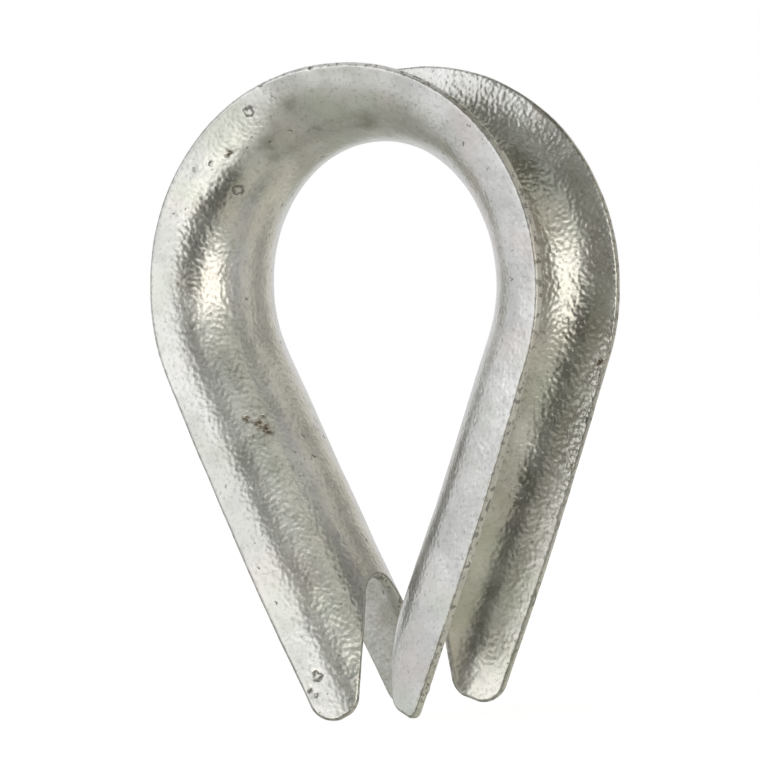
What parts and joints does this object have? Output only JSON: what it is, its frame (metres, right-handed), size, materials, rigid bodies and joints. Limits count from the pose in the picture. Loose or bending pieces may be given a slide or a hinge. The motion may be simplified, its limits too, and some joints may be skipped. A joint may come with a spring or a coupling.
{
  "type": "wire rope thimble",
  "caption": "Teardrop wire rope thimble: a pressed steel channel whose outer groove seats the rope and whose smooth eye takes a shackle pin or hook.",
  "frame": {"origin": "centre of the crown bend, halfway across the groove", "axes": "+Y along the eye's bore, +Z from the legs to the crown, +X across the eye"},
  "size_m": [0.0476, 0.018, 0.0693],
  "materials": {
    "galvanised_steel": "hot-dip galvanised, matt with bright patches"
  },
  "bodies": {
    "root": {"thimble": "galvanised_steel"}
  },
  "joints": []
}
